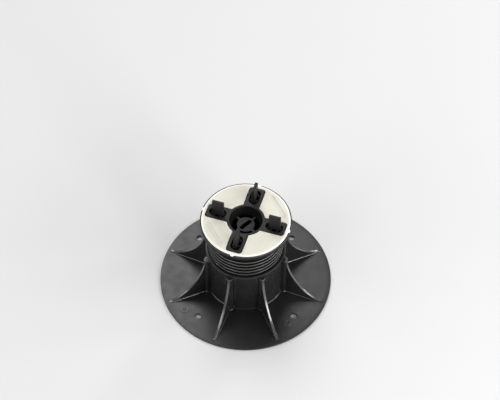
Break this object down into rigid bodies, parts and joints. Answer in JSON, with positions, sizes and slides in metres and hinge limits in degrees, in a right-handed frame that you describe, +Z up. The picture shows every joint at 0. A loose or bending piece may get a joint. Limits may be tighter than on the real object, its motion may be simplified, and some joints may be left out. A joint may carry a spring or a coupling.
{
  "type": "adjustable decking pedestal",
  "caption": "Plastic decking pedestal: ribbed round base with a threaded tube, screw sleeve, and a tilting head with a soft pad and upright spacer tabs.",
  "frame": {"origin": "centre of the base's underside, on the floor", "axes": "+Z up along the screw's axis, +Y to the back of the picture's view, +X to its right"},
  "size_m": [0.2, 0.2, 0.1344],
  "materials": {
    "base_plastic": "satin moulded polypropylene, charcoal black",
    "sleeve_plastic": "satin moulded polypropylene, charcoal black",
    "hub_plastic": "matte moulded plastic, charcoal black",
    "socket_plastic": "matte moulded plastic, charcoal black",
    "liner_plastic": "smooth natural-grey acetal",
    "ball_plastic": "matte moulded plastic, charcoal black",
    "head_plastic": "matte moulded polypropylene, charcoal black",
    "pad_rubber": "soft ivory elastomer, fine matte",
    "tab_plastic": "matte moulded plastic, charcoal black"
  },
  "bodies": {
    "base": {"ribbed_base": "base_plastic"},
    "lift": {"swivel_socket": "socket_plastic"},
    "screw": {"threaded_sleeve": "sleeve_plastic", "key_hub": "hub_plastic"},
    "liner": {"glide_liner": "liner_plastic"},
    "ball": {"ball_cup": "ball_plastic"},
    "head": {"head_plate": "head_plastic", "soft_pad": "pad_rubber", "spacer_tab_right": "tab_plastic", "spacer_tab_back": "tab_plastic", "spacer_tab_left": "tab_plastic", "spacer_tab_front": "tab_plastic"}
  },
  "joints": [
    {"name": "height_adjust", "type": "slide", "parent": "base", "child": "lift", "axis": [0, 0, 1], "range_m": [-0.0385, 0.005]},
    {"name": "screw_turn", "type": "hinge", "parent": "lift", "child": "screw", "pos_m": [0, 0, 0.104], "axis": [0, 0, 1], "range_deg": [-2431.5, 315.7]},
    {"name": "head_tilt_side", "type": "hinge", "parent": "lift", "child": "liner", "pos_m": [0, 0, 0.104], "axis": [0, 1, 0], "range_deg": [-2.86, 2.86]},
    {"name": "head_tilt_front", "type": "hinge", "parent": "liner", "child": "ball", "pos_m": [0, 0, 0.104], "axis": [1, 0, 0], "range_deg": [-2.86, 2.86]},
    {"name": "head_swivel", "type": "hinge", "parent": "ball", "child": "head", "pos_m": [0, 0, 0.104], "axis": [0, 0, 1], "continuous": true}
  ],
  "couplings": [
    {"joint": "height_adjust", "follows": "screw_turn", "m_per_rad": 0.00090718}
  ]
}
